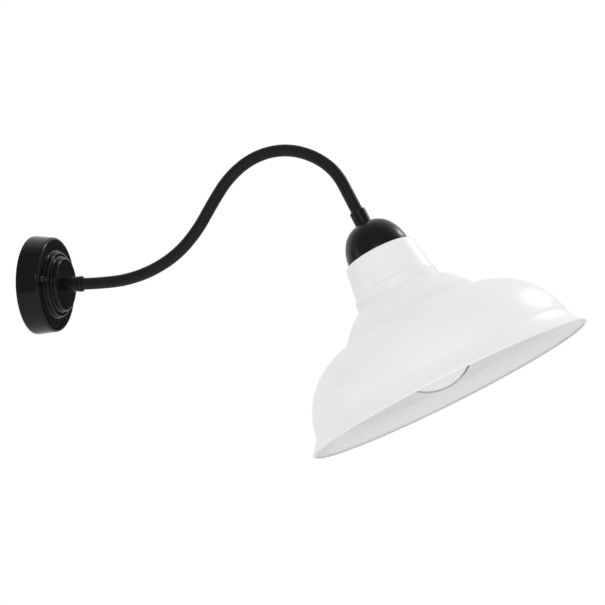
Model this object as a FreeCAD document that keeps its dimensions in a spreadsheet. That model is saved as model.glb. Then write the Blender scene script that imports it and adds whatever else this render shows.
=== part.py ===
import FreeCAD, Part
import math
import os

import Sketcher
from FreeCAD import Placement, Rotation, Vector

# A wall light with a bendable neck: a stepped round wall plate, a sleeved flexible
# neck, a domed socket cup and a wide spun shade round a globe bulb.
# Frame: the wall is the plane X = 0, +X points out of the wall and +Z up.  The
# origin is the middle of the wall side of the mounting strap.  Lengths are in
# millimetres and angles in degrees.

# --------------------------------------------------------------------------
# Driving sizes
# --------------------------------------------------------------------------

SIZES = {
    # Wall plate: a spun cup in three steps, depths measured from the wall
    "plate_radius": 52.5,
    "plate_draft": 1.9,
    "plate_depth": 23.1,
    "plate_edge": 3.0,
    "plate_rim": 2.5,
    "step_radius": 35.2,
    "step_depth": 28.0,
    "boss_radius": 28.8,
    "boss_depth": 33.8,
    "step_edge": 2.0,
    "step_root": 1.6,
    "plate_wall": 1.5,
    # Mounting strap and the screws in it
    "strap_length": 97.0,
    "strap_width": 20.0,
    "strap_thick": 2.0,
    "wall_hole_spacing": 60.0,
    "wall_hole_radius": 2.5,
    "cover_screw_spacing": 83.5,
    "screw_radius": 2.0,
    "thread_gap": 0.08,
    "cover_hole_gap": 0.4,
    "cover_head_radius": 3.3,
    "cover_head_height": 2.2,
    "head_round": 0.9,
    "slot_width": 0.8,
    "slot_depth": 1.0,
    "screw_from_wall": 0.4,
    "earth_screw_at": 14.0,
    "earth_head_radius": 3.6,
    "earth_head_height": 2.6,
    # Terminal block on the strap
    "block_width": 25.5,
    "block_height": 17.0,
    "block_depth": 13.0,
    "block_offset": 14.0,
    "block_round": 1.2,
    "pole_pitch": 8.2,
    "pole_hole_radius": 1.7,
    "pole_hole_deep": 5.0,
    "pole_screw_radius": 1.6,
    "pole_screw_length": 3.4,
    "pole_screw_spread": 4.4,
    # Hollow threaded nipples and their nuts
    "nipple_radius": 5.0,
    "nipple_bore": 3.6,
    "wall_nipple_inside": 9.0,
    "sheath_past_nipple": 1.0,
    "wall_nipple_outside": 8.0,
    "nut_flats": 14.0,
    "nut_height": 3.5,
    "washer_radius": 8.5,
    "washer_thick": 1.0,
    "fit_gap": 0.05,
    # Ferrules at the two ends of the neck
    "wall_ferrule_radius": 8.0,
    "wall_ferrule_length": 18.7,
    "lamp_ferrule_radius": 8.5,
    "lamp_ferrule_length": 15.9,
    "ferrule_chamfer": 1.0,
    "ferrule_collar": 4.2,
    "ferrule_collar_out": 0.45,
    "crimp_depth": 9.0,
    # Flexible neck
    "neck_length": 381.0,
    "sleeve_radius": 6.25,
    "sleeve_wall": 1.0,
    "link_radius": 4.85,
    "link_bore": 3.4,
    "nest_gap": 0.3,
    "cable_radius": 2.8,
    "core_radius": 1.0,
    "core_offset": 1.3,
    "core_side": 0.6,
    # Socket cup
    "cup_height": 34.6,
    "cup_crown_radius": 8.6,
    "cup_waist_radius": 26.1,
    "cup_waist_down": 11.3,
    "cup_rim_radius": 33.1,
    "cup_top_curve": 25.0,
    "cup_side_curve": 43.3,
    "cup_wall": 1.2,
    # Shade: each part's height and how far it stands out from the part above it
    "shade_wall": 1.0,
    "shade_hole_gap": 0.5,
    "shade_neck_radius": 38.2,
    "shade_shoulder": 4.2,
    "shade_neck_height": 32.5,
    "shade_neck_flare": 3.8,
    "shade_band_out": 3.6,
    "shade_band_curve": 3.7,
    "shade_band_drop": 4.0,
    "shade_band_height": 9.0,
    "tier_out": 28.2,
    "tier_height": 29.4,
    "tier_curve": 110.0,
    "bowl_out": 63.6,
    "bowl_height": 62.9,
    "bowl_curve": 72.9,
    "lip_out": 11.3,
    "lip_height": 16.1,
    "lip_curve": 48.0,
    "curl_in": 2.2,
    "curl_down": 1.75,
    "curl_radius": 1.5,
    # Lampholder
    "lamp_nipple_length": 31.0,
    "holder_top": 35.0,
    "holder_radius": 22.5,
    "holder_crown_radius": 9.0,
    "holder_crown_curve": 16.0,
    "holder_wall": 2.2,
    "holder_flange": 3.0,
    "skirt_radius": 19.5,
    "skirt_wall": 2.6,
    "skirt_length": 41.5,
    "seat_gap": 0.1,
    "insulator_top": 4.5,
    "insulator_thick": 8.0,
    "shell_bore": 13.6,
    "shell_wall": 0.4,
    "shell_depth": 26.0,
    "shell_floor_hole": 8.0,
    "contact_width": 6.0,
    "contact_reach": 5.5,
    "contact_thick": 0.4,
    "terminal_radius": 2.6,
    "terminal_height": 4.0,
    "terminal_spread": 9.0,
    "ring_radius": 28.0,
    "ring_thick": 6.0,
    "ring_collar": 2.6,
    "ring_edge": 1.4,
    # Globe bulb
    "globe_radius": 47.5,
    "globe_wall": 1.0,
    "bulb_length": 138.0,
    "cap_radius": 13.1,
    "cap_length": 25.0,
    "cap_wall": 0.4,
    "cap_shoulder": 2.0,
    "cap_floor_radius": 9.6,
    "tip_radius": 4.6,
    "tip_height": 0.9,
    "bulb_insulator_height": 1.9,
    "contact_gap": 0.3,
    "glass_throat_radius": 12.4,
    "glass_throat_length": 5.0,
}

# How far each of the neck's equal stretches turns upwards, from the wall out
NECK_TURNS = [4.0, 13.5, 14.5, 17.0, 12.0, -4.0, -18.5, -25.0, -26.5, -23.0, -27.0, -0.7]

for stretch, turn in enumerate(NECK_TURNS, 1):
    SIZES[f"neck_turn_{stretch:02d}"] = turn

doc = FreeCAD.newDocument("BendableWallLight")
sheet = doc.addObject("Spreadsheet::Sheet", "Sizes")
for row, (name, number) in enumerate(SIZES.items(), 1):
    sheet.set(f"A{row}", name)
    sheet.set(f"B{row}", str(number))
    sheet.setAlias(f"B{row}", name)
doc.recompute()


class Size:
    """A number together with the sheet expression that gives it."""

    def __init__(self, value, text):
        self.value = value
        self.text = text

    def __add__(self, other):
        other = as_size(other)
        return Size(self.value + other.value, f"({self.text} + {other.text})")

    def __sub__(self, other):
        other = as_size(other)
        return Size(self.value - other.value, f"({self.text} - {other.text})")

    def __mul__(self, other):
        other = as_size(other)
        return Size(self.value * other.value, f"({self.text} * {other.text})")

    def __truediv__(self, other):
        other = as_size(other)
        return Size(self.value / other.value, f"({self.text} / {other.text})")

    def __neg__(self):
        return Size(-self.value, f"(0 - {self.text})")


def as_size(number):
    return number if isinstance(number, Size) else Size(float(number), repr(float(number)))


class Sheet:
    """The sheet's sizes as attributes."""


d = Sheet()
for name in SIZES:
    setattr(d, name, Size(sheet.get(name), f"Sizes.{name}"))

ZERO = as_size(0)
ROUTE_SHARE = 0.45      # of the shorter run, taken up by the arc at a route's corner
TANGENT_SLACK = 0.0001  # keeps an exact half circle drawable as a minor arc
CUT_BACK = 0.05         # between a conductor's end and the cable's sheath

# --------------------------------------------------------------------------
# Frames
# --------------------------------------------------------------------------


def facing(point, heading):
    """Frame at a point of the plane Y = 0 whose Z axis looks along the heading,
    in degrees up from +X.  Its Y axis stays the wall light's own Y axis."""
    return Placement(point, Rotation(Vector(0, 1, 0), 90 - heading))


WALL = facing(Vector(0, 0, 0), 0)
NECK_START = d.boss_depth + d.wall_ferrule_length
STRETCH = d.neck_length / len(NECK_TURNS)


def neck_frames():
    """Frames where the neck's stretches meet, and the arc of each stretch."""
    frames = [facing(Vector(NECK_START.value, 0, 0), 0)]
    arcs = []
    heading = 0.0
    for number in range(1, len(NECK_TURNS) + 1):
        turn = getattr(d, f"neck_turn_{number:02d}").value
        start = frames[-1].Base
        middle = along_arc(start, heading, STRETCH.value / 2, turn / 2)
        end = along_arc(start, heading, STRETCH.value, turn)
        arcs.append((start, middle, end))
        heading += turn
        frames.append(facing(end, heading))
    return frames, arcs


def along_arc(start, heading, length, turn):
    """The point a length along an arc that sets off at the heading and turns."""
    half = math.radians(turn / 2)
    chord = length * math.sin(half) / half if abs(half) > 1e-9 else length
    aim = math.radians(heading) + half
    return start + Vector(math.cos(aim), 0, math.sin(aim)) * chord


FRAMES, ARCS = neck_frames()
HEAD = FRAMES[-1]

# Stations down the head's axis, from the end of the neck
CUP_TOP = d.lamp_ferrule_length
SHADE_TOP = CUP_TOP + d.cup_height
SHADE_UNDERSIDE = SHADE_TOP + d.shade_wall
HOLDER_FLANGE_END = SHADE_TOP - d.seat_gap
HOLDER_FLANGE_TOP = HOLDER_FLANGE_END - d.holder_flange
SKIRT_END = SHADE_TOP + d.skirt_length
INSULATOR_TOP = SHADE_TOP + d.insulator_top
INSULATOR_END = INSULATOR_TOP + d.insulator_thick
CABLE_START = d.boss_depth - d.plate_wall - d.wall_nipple_inside - d.sheath_past_nipple
BULB_TIP = INSULATOR_END + d.contact_thick + d.contact_thick + d.contact_gap
GLOBE_CENTRE = BULB_TIP + d.bulb_length - d.globe_radius

# --------------------------------------------------------------------------
# Building blocks
# --------------------------------------------------------------------------

nodes = {}


def keep(label, piece, place=None):
    """Name a finished piece, put it in its place and list it as a node."""
    piece.Label = label
    if place is not None:
        piece.Placement = place
    nodes[label] = piece
    return piece


def arc_middle(start, end, radius, side):
    """Middle of the minor arc from start to end that turns to the left or right."""
    chord = end - start
    left = Vector(-chord.y, chord.x, 0).normalize()
    sag = radius - math.sqrt(radius ** 2 - (chord.Length / 2) ** 2)
    return (start + end) / 2 + left * (-sag if side == "left" else sag)


def draw(sketch, outline, closed=True):
    """Draw an outline of (x, y) corners, or (x, y, radius, side) for an arc that
    ends there, and tie every corner and radius to the sheet."""
    corners = [(as_size(step[0]), as_size(step[1])) for step in outline]
    places = [Vector(x.value, y.value, 0) for x, y in corners]
    count = len(outline)
    ends = []
    for index in range(1, count + 1 if closed else count):
        step = outline[index % count]
        start = places[index - 1]
        end = places[index % count]
        if len(step) == 4:
            radius = as_size(step[2])
            middle = arc_middle(start, end, radius.value, step[3])
            edge = sketch.addGeometry(Part.Arc(start, middle, end))
            tie(sketch, Sketcher.Constraint("Radius", edge, radius.value), radius)
        else:
            edge = sketch.addGeometry(Part.LineSegment(start, end))
        forward = sketch.getPoint(edge, 1).distanceToPoint(start) < 1e-6
        ends.append((edge, 1, 2) if forward else (edge, 2, 1))
    for (edge, _, tail), (after, head, _) in zip(ends, ends[1:]):
        sketch.addConstraint(Sketcher.Constraint("Coincident", edge, tail, after, head))
    if closed:
        first, last = ends[0], ends[-1]
        close = Sketcher.Constraint("Coincident", last[0], last[2], first[0], first[1])
        sketch.addConstraint(close)
    for index, (x, y) in enumerate(corners):
        edge, head, tail = ends[index] if index < len(ends) else ends[-1]
        point = head if index < len(ends) else tail
        pin(sketch, "DistanceX", edge, point, x)
        pin(sketch, "DistanceY", edge, point, y)


def pin(sketch, kind, edge, point, size):
    """Hold a point at a signed distance from the sketch's origin."""
    if size is ZERO or size.text == ZERO.text:
        axis = -2 if kind == "DistanceX" else -1
        sketch.addConstraint(Sketcher.Constraint("PointOnObject", edge, point, axis))
    else:
        tie(sketch, Sketcher.Constraint(kind, -1, 1, edge, point, size.value), size)


def tie(sketch, constraint, size):
    """Add a constraint whose value follows the sheet."""
    index = sketch.addConstraint(constraint)
    sketch.setExpression(f"Constraints[{index}]", size.text)


def body_sketch(body, plane, name):
    """A sketch on one of a body's own origin planes."""
    sketch = body.newObject("Sketcher::SketchObject", name)
    base = [part for part in body.Origin.OriginFeatures if part.Role == plane][0]
    sketch.AttachmentSupport = (base, [""])
    sketch.MapMode = "FlatFace"
    return sketch


def turned_body(name, outline):
    """A lathe piece: a closed outline of (radius, station) turned about Z."""
    body = doc.addObject("PartDesign::Body", name)
    sketch = body_sketch(body, "XZ_Plane", name + "_outline")
    draw(sketch, outline)
    turning = body.newObject("PartDesign::Revolution", name + "_turning")
    turning.Profile = sketch
    turning.ReferenceAxis = (sketch, ["V_Axis"])
    turning.Angle = 360
    return body


def turned(label, outline, place):
    return keep(label, turned_body(label, outline), place)


def spun_shell(name, outline, wall):
    """A spun sheet: an open outline of the outer side, thickened to its left by the
    wall, or to its right by a negative one, and turned about Z."""
    sketch = doc.addObject("Sketcher::SketchObject", name + "_outline")
    sketch.Placement = Placement(Vector(0, 0, 0), Rotation(Vector(1, 0, 0), 90))
    draw(sketch, outline, closed=False)
    thick = doc.addObject("Part::Offset2D", name + "_section")
    thick.Source = sketch
    thick.Fill = True
    thick.Join = "Intersection"
    thick.Mode = "Skin"
    thick.setExpression("Value", wall.text)
    spun = doc.addObject("Part::Revolution", name + "_spinning")
    spun.Source = thick
    spun.Axis = (0, 0, 1)
    spun.Angle = 360
    spun.Solid = True
    return spun


def cylinder(name, radius, height, place=Placement()):
    rod = doc.addObject("Part::Cylinder", name)
    rod.setExpression("Radius", radius.text)
    rod.setExpression("Height", height.text)
    rod.Placement = place
    return rod


def box(name, length, width, height, place):
    block = doc.addObject("Part::Box", name)
    block.setExpression("Length", as_size(length).text)
    block.setExpression("Width", as_size(width).text)
    block.setExpression("Height", as_size(height).text)
    block.Placement = place
    return block


def cut(name, base, *tools):
    """The base with each tool taken out of it."""
    for number, tool in enumerate(tools, 1):
        step = doc.addObject("Part::Cut", f"{name}_cut{number}")
        step.Base = base
        step.Tool = tool
        base = step
    return base


def fuse(name, *pieces):
    whole = doc.addObject("Part::MultiFuse", name + "_fuse")
    whole.Shapes = list(pieces)
    return whole


def group(label, pieces):
    """Identical loose pieces that share one node."""
    together = doc.addObject("Part::Compound", label + "_set")
    together.Links = pieces
    return keep(label, together)


def at(x=0.0, y=0.0, z=0.0, turned_to=None):
    """A placement from sizes or numbers."""
    base = Vector(as_size(x).value, as_size(y).value, as_size(z).value)
    return Placement(base, turned_to or Rotation())


def screw_outline(head_radius, head_height, shank_radius, top, tip):
    """A domed head that bears at the station top, with a shank down to the tip."""
    return [
        (0, tip),
        (shank_radius, tip),
        (shank_radius, top),
        (head_radius, top),
        (head_radius, top + head_height - d.head_round),
        (head_radius - d.head_round, top + head_height, d.head_round, "left"),
        (0, top + head_height),
    ]


def slotted_screw(name, head_radius, head_height, shank_radius, top, tip, place):
    """A turned screw with a straight driver slot."""
    outline = screw_outline(head_radius, head_height, shank_radius, top, tip)
    blank = turned_body(name + "_blank", outline)
    slot = box(name + "_slot", head_radius * 3, d.slot_width, d.slot_depth * 2,
               at(head_radius * -1.5, d.slot_width / -2, top + head_height - d.slot_depth))
    screw = cut(name, blank, slot)
    screw.Placement = place
    return screw


def spine(name, points_and_arcs):
    """A smooth wire of straight runs (two points) and arcs (three points)."""
    edges = []
    for run in points_and_arcs:
        curve = Part.LineSegment(*run) if len(run) == 2 else Part.Arc(*run)
        edges.append(curve.toShape())
    wire = doc.addObject("Part::Feature", name)
    wire.Shape = Part.Wire(edges)
    return wire


def swept(name, path, radius, place):
    """A round bar of the radius swept along the whole path from its first frame."""
    ring = doc.addObject("Part::Circle", name + "_ring")
    ring.setExpression("Radius", radius.text)
    ring.Placement = place
    bar = doc.addObject("Part::Sweep", name + "_bar")
    bar.Sections = [ring]
    bar.Spine = (path, [f"Edge{n + 1}" for n in range(len(path.Shape.Edges))])
    bar.Solid = True
    bar.Frenet = False
    return bar


def rounded_route(points):
    """Straight runs between the points, joined by tangent arcs as large as the
    shorter of the two runs allows."""
    runs = []
    last = points[0]
    for before, corner, after in zip(points, points[1:], points[2:]):
        back = before - corner
        on = after - corner
        reach = ROUTE_SHARE * min(back.Length, on.Length)
        half_turn = (math.pi - back.getAngle(on)) / 2
        radius = reach / math.tan(half_turn)
        enter = corner + back.normalize() * reach
        leave = corner + on.normalize() * reach
        inward = (back + on).normalize()
        runs.append((last, enter))
        runs.append((enter, corner + inward * (radius / math.cos(half_turn) - radius), leave))
        last = leave
    runs.append((last, points[-1]))
    return runs


# --------------------------------------------------------------------------
# Wall plate and what is behind it
# --------------------------------------------------------------------------


def wall_plate():
    drum = d.plate_radius - d.plate_draft
    outline = [
        (d.nipple_radius + d.fit_gap, d.boss_depth),
        (d.boss_radius - d.step_edge, d.boss_depth),
        (d.boss_radius, d.boss_depth - d.step_edge, d.step_edge, "right"),
        (d.boss_radius, d.step_depth + d.step_root),
        (d.boss_radius + d.step_root, d.step_depth, d.step_root, "left"),
        (d.step_radius - d.step_edge, d.step_depth),
        (d.step_radius, d.step_depth - d.step_edge, d.step_edge, "right"),
        (d.step_radius, d.plate_depth + d.step_root),
        (d.step_radius + d.step_root, d.plate_depth, d.step_root, "left"),
        (drum - d.plate_edge, d.plate_depth),
        (drum, d.plate_depth - d.plate_edge, d.plate_edge, "right"),
        (d.plate_radius, d.plate_rim),
        (d.plate_radius, 0),
    ]
    shell = spun_shell("wall_plate", outline, -d.plate_wall)
    drills = []
    for side in (-1, 1):
        seat = at(0, d.cover_screw_spacing * side / 2, 0)
        hole_radius = d.screw_radius + d.cover_hole_gap
        drills.append(cylinder("cover_screw_drill", hole_radius, d.plate_depth * 2, seat))
    keep("wall_plate", cut("wall_plate", shell, *drills), WALL)


def mounting_strap():
    """A flat steel strap with round ends, drilled for the wall and cover screws."""
    body = doc.addObject("PartDesign::Body", "mounting_strap")
    sketch = body_sketch(body, "XY_Plane", "strap_outline")
    half = d.strap_width / 2
    straight = d.strap_length / 2 - half
    draw(sketch, [
        (-half, -straight),
        (half, -straight, half + TANGENT_SLACK, "left"),
        (half, straight),
        (-half, straight, half + TANGENT_SLACK, "left"),
    ])
    holes = [
        (d.wall_hole_spacing / 2, d.wall_hole_radius),
        (-d.wall_hole_spacing / 2, d.wall_hole_radius),
        (d.cover_screw_spacing / 2, d.screw_radius + d.thread_gap),
        (-d.cover_screw_spacing / 2, d.screw_radius + d.thread_gap),
        (d.earth_screw_at, d.screw_radius + d.thread_gap),
    ]
    for y, radius in holes:
        hole = sketch.addGeometry(Part.Circle(Vector(0, y.value, 0), Vector(0, 0, 1), radius.value))
        tie(sketch, Sketcher.Constraint("Radius", hole, radius.value), radius)
        pin(sketch, "DistanceX", hole, 3, ZERO)
        pin(sketch, "DistanceY", hole, 3, y)
    pad = body.newObject("PartDesign::Pad", "strap_pad")
    pad.Profile = sketch
    pad.setExpression("Length", d.strap_thick.text)
    keep("mounting_strap", body, WALL)


def strap_screws():
    """The two cover screws and the earth screw, all tapped into the strap."""
    covers = []
    for side in (-1, 1):
        seat = WALL.multiply(at(0, d.cover_screw_spacing * side / 2, 0))
        covers.append(slotted_screw(
            "cover_screw", d.cover_head_radius, d.cover_head_height, d.screw_radius,
            d.plate_depth, d.screw_from_wall, seat))
    group("cover_screws", covers)
    seat = WALL.multiply(at(0, d.earth_screw_at, 0))
    earth = slotted_screw(
        "earth_screw", d.earth_head_radius, d.earth_head_height, d.screw_radius,
        d.strap_thick + d.core_radius * 2, d.screw_from_wall, seat)
    keep("earth_screw", earth)


def block_poles():
    """The Y stations of the terminal block's three poles."""
    middle = -d.block_offset
    return [middle - d.pole_pitch, middle, middle + d.pole_pitch]


def terminal_block():
    """A three-pole block on the strap, its wire holes up and down."""
    corner = at(d.block_height / -2, -d.block_offset - d.block_width / 2, d.strap_thick)
    place = WALL.multiply(corner)
    blank = box("terminal_block_blank", d.block_height, d.block_width, d.block_depth, place)
    edged = doc.addObject("Part::Fillet", "terminal_block_edged")
    edged.Base = blank
    top_edges = (2, 4, 6, 8, 10, 12)
    edged.Edges = [(edge, d.block_round.value, d.block_round.value) for edge in top_edges]
    middle = d.strap_thick + d.block_depth / 2
    tools = []
    for number, y in enumerate(block_poles(), 1):
        for side in (-1, 1):
            mouth = WALL.multiply(at(d.block_height * side / 2, y, middle,
                                     Rotation(Vector(0, 1, 0), -90 * side)))
            hole = cylinder(f"wire_hole_{number}", d.pole_hole_radius, d.pole_hole_deep, mouth)
            tools.append(hole)
            well = WALL.multiply(at(d.pole_screw_spread * side, y, d.strap_thick + d.block_depth
                                    - d.pole_screw_length))
            tools.append(cylinder(f"screw_well_{number}", d.pole_screw_radius + d.seat_gap,
                                  d.pole_screw_length * 2, well))
    keep("terminal_block", cut("terminal_block", edged, *tools))
    screws = []
    for y in block_poles():
        for side in (-1, 1):
            seat = WALL.multiply(at(d.pole_screw_spread * side, y, d.strap_thick + d.block_depth
                                    - d.pole_screw_length))
            rod = cylinder("pole_rod", d.pole_screw_radius, d.pole_screw_length - d.slot_depth)
            slot = box("pole_slot", d.pole_screw_radius * 4, d.slot_width, d.slot_depth,
                       at(d.pole_screw_radius * -2, d.slot_width / -2,
                          d.pole_screw_length - d.slot_depth * 2))
            screw = cut("pole_screw", rod, slot)
            screw.Placement = seat
            screws.append(screw)
    group("terminal_screws", screws)


def hex_nut(label, place):
    """A thin hexagon nut on a nipple."""
    blank = doc.addObject("Part::Prism", label + "_blank")
    blank.Polygon = 6
    blank.setExpression("Circumradius", (d.nut_flats / math.sqrt(3)).text)
    blank.setExpression("Height", d.nut_height.text)
    bore = cylinder(label + "_bore", d.nipple_radius + d.fit_gap, d.nut_height)
    keep(label, cut(label, blank, bore), place)


def tube_outline(inner, outer, start, end):
    return [(inner, start), (outer, start), (outer, end), (inner, end)]


def wall_nipple():
    """The threaded tube that holds the neck to the plate, with washer and nut."""
    under = d.boss_depth - d.plate_wall
    turned("wall_nipple", tube_outline(d.nipple_bore, d.nipple_radius,
                                       under - d.wall_nipple_inside,
                                       d.boss_depth + d.wall_nipple_outside), WALL)
    turned("wall_washer", tube_outline(d.nipple_radius + d.fit_gap, d.washer_radius,
                                       under - d.washer_thick, under), WALL)
    hex_nut("wall_lock_nut", WALL.multiply(at(0, 0, under - d.washer_thick - d.nut_height)))


# --------------------------------------------------------------------------
# Neck
# --------------------------------------------------------------------------


def ferrule_outline(radius, length):
    """A plain ferrule whose neck end is at station 0 and threaded end at its length."""
    crimp = d.sleeve_radius + d.fit_gap
    thread = d.nipple_radius + d.fit_gap
    return [
        (crimp, 0),
        (radius - d.ferrule_chamfer, 0),
        (radius, d.ferrule_chamfer),
        (radius, length),
        (thread, length),
        (thread, d.crimp_depth + d.fit_gap),
        (crimp, d.crimp_depth + d.fit_gap),
    ]


def collared(outline, radius):
    """The ferrule's outline with a raised collar round its neck end."""
    out = radius + d.ferrule_collar_out
    inner, thread_end = outline[0], outline[3:]
    return [
        inner,
        (out - d.ferrule_chamfer, 0),
        (out, d.ferrule_chamfer),
        (out, d.ferrule_collar - d.ferrule_collar_out),
        (radius, d.ferrule_collar),
    ] + thread_end


def ferrules():
    about_face = Rotation(Vector(0, 1, 0), 180)
    wall_end = WALL.multiply(Placement(Vector(0, 0, NECK_START.value), about_face))
    plain = ferrule_outline(d.wall_ferrule_radius, d.wall_ferrule_length)
    turned("wall_ferrule", collared(plain, d.wall_ferrule_radius), wall_end)
    turned("lamp_ferrule", ferrule_outline(d.lamp_ferrule_radius, d.lamp_ferrule_length), HEAD)


def lead_in(depth):
    """The straight run of the neck inside the wall ferrule."""
    return (FRAMES[0].multVec(Vector(0, 0, -depth.value)), FRAMES[0].Base)


def lead_out(depth):
    """The straight run of the neck inside the lamp ferrule."""
    return (HEAD.Base, HEAD.multVec(Vector(0, 0, depth.value)))


def frame_before(frame, distance):
    return frame.multiply(at(0, 0, -distance))


def core_link(number):
    """One stretch of the neck's metal core.  Its domed nose nests in the hollow
    end of the stretch before it, centred on the point where the two bend."""
    label = f"core_link_{number:02d}"
    first = number == 1
    last = number == len(ARCS)
    start = FRAMES[number - 1]
    runs = [ARCS[number - 1]]
    entry = start
    if first:
        runs.insert(0, lead_in(d.crimp_depth))
        entry = frame_before(start, d.crimp_depth)
    if last:
        runs.append(lead_out(d.crimp_depth))
    bar = swept(label, spine(label + "_line", runs), d.link_radius, entry)
    if not first:
        nose = doc.addObject("Part::Sphere", label + "_nose")
        nose.setExpression("Radius", d.link_radius.text)
        nose.Angle2 = 0
        nose.Placement = start
        bar = fuse(label, bar, nose)
        entry = frame_before(start, d.link_radius)
        runs.insert(0, (entry.Base, start.Base))
    tools = [swept(label + "_bore", spine(label + "_bore_line", runs), d.link_bore, entry)]
    if not last:
        nest = doc.addObject("Part::Sphere", label + "_nest")
        nest.setExpression("Radius", (d.link_radius + d.nest_gap).text)
        nest.Placement = FRAMES[number]
        tools.append(nest)
    keep(label, cut(label, bar, *tools))


def neck_sleeve():
    """The smooth sleeve over the whole core, crimped into both ferrules."""
    runs = [lead_in(d.crimp_depth)] + ARCS + [lead_out(d.crimp_depth)]
    path = spine("sleeve_line", runs)
    entry = frame_before(FRAMES[0], d.crimp_depth)
    outside = swept("sleeve_outside", path, d.sleeve_radius, entry)
    inside = swept("sleeve_inside", path, d.sleeve_radius - d.sleeve_wall, entry)
    keep("neck_sleeve", cut("neck_sleeve", outside, inside))


# --------------------------------------------------------------------------
# Wiring
# --------------------------------------------------------------------------


def flex_cable():
    """The two-core cable through the nipples and the neck."""
    before = NECK_START - CABLE_START
    after = cable_end()
    runs = [lead_in(before)] + ARCS + [lead_out(after)]
    path = spine("flex_cable_line", runs)
    keep("flex_cable", swept("flex_cable", path, d.cable_radius, frame_before(FRAMES[0], before)))


def cable_end():
    """Where the cable's sheath stops, down the head's axis."""
    return CUP_TOP - (CUP_TOP - d.crimp_depth) / 2 + d.lamp_nipple_length


def core_route(label, points, place):
    """One insulated conductor along a route given in a frame."""
    world = [place.multVec(Vector(*(as_size(x).value for x in point))) for point in points]
    runs = rounded_route(world)
    aim = (world[1] - world[0]).normalize()
    start = Placement(world[0], Rotation(Vector(0, 0, 1), aim))
    keep(label, swept(label, spine(label + "_line", runs), d.core_radius, start))


# Corners of the routes behind the plate, as steps from the stations in plate_cores:
# down the wall, across it and out of it
LIVE_CORNERS = [(-8.0, -9.0, 3.5), (-15.5, -19.0, 0.0)]
NEUTRAL_CORNERS = [(-5.0, -3.0, 2.0), (-13.0, -10.5, 0.0)]
LIVE_ENTRY = [(-7.5, 2.0), (-4.5, 0.0)]
NEUTRAL_ENTRY = [(-5.1, 2.0), (-3.1, 0.0)]
EARTH_ENTRY = [(-3.0, 0.0, 0.0), (-5.5, 7.0, -1.0)]
EARTH_LOOP = [(-8.5, -1.0, 1.5), (-4.0, 0.0, 0.0), (3.0, 0.0, 0.0)]


def plate_cores():
    """The conductors from the cable's end and the earth screw to the block."""
    live_pole, neutral_pole, earth_pole = block_poles()
    level = d.strap_thick + d.block_depth / 2
    over = d.strap_thick + d.block_depth
    sheath = CABLE_START - CUT_BACK
    face = d.block_height / -2
    deep = face + d.pole_hole_deep - d.seat_gap
    for label, pole, side, straight, corners, entry in (
            ("live_core", live_pole, -1, 2.0, LIVE_CORNERS, LIVE_ENTRY),
            ("neutral_core", neutral_pole, 1, 3.5, NEUTRAL_CORNERS, NEUTRAL_ENTRY)):
        beside = d.core_offset * side
        route = [(beside, -d.core_side, sheath), (beside, -d.core_side, sheath - straight)]
        route += [(down, across, over + out) for down, across, out in corners]
        route += [(face + down, pole, level + out) for down, out in entry]
        core_route(label, route + [(deep, pole, level)], WALL)
    ring_height = d.strap_thick + d.core_radius
    ring_side = d.earth_screw_at - d.screw_radius - d.core_radius - d.seat_gap
    route = [(deep, earth_pole, level)]
    route += [(face + down, earth_pole + across, level + out) for down, across, out in EARTH_ENTRY]
    route += [(down, ring_side + across, ring_height + out) for down, across, out in EARTH_LOOP]
    core_route("earth_core", route, WALL)


LAMP_CORE_STRAIGHT = 1.5
LAMP_CORE_SPREAD = 5.0


def lamp_cores():
    """The conductors from the cable's end to the lampholder's terminals."""
    start = cable_end() + CUT_BACK
    end = INSULATOR_TOP - d.terminal_height
    for label, side in (("lamp_live_core", -1), ("lamp_neutral_core", 1)):
        spread = d.terminal_spread * side
        beside = d.core_offset * side
        core_route(label, [
            (beside, 0, start), (beside, 0, start + LAMP_CORE_STRAIGHT),
            (spread, 0, start + LAMP_CORE_SPREAD), (spread, 0, end)], HEAD)


# --------------------------------------------------------------------------
# Lamp head
# --------------------------------------------------------------------------


def head_nipple():
    """The threaded tube from the lamp ferrule to the lampholder, and its nut."""
    start = cable_end() - d.lamp_nipple_length
    turned("lamp_nipple", tube_outline(d.nipple_bore, d.nipple_radius, start,
                                       start + d.lamp_nipple_length - d.seat_gap), HEAD)
    under = CUP_TOP + d.cup_wall
    turned("lamp_washer", tube_outline(d.nipple_radius + d.fit_gap, d.washer_radius,
                                       under, under + d.washer_thick), HEAD)
    hex_nut("lamp_lock_nut", HEAD.multiply(at(0, 0, under + d.washer_thick)))


def socket_cup():
    """A domed cup that the ferrule stands on and the shade hangs under."""
    outline = [
        (d.nipple_radius + d.fit_gap, CUP_TOP),
        (d.cup_crown_radius, CUP_TOP),
        (d.cup_waist_radius, CUP_TOP + d.cup_waist_down, d.cup_top_curve, "left"),
        (d.cup_rim_radius, SHADE_TOP - d.seat_gap, d.cup_side_curve, "left"),
    ]
    keep("socket_cup", spun_shell("socket_cup", outline, d.cup_wall), HEAD)


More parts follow.
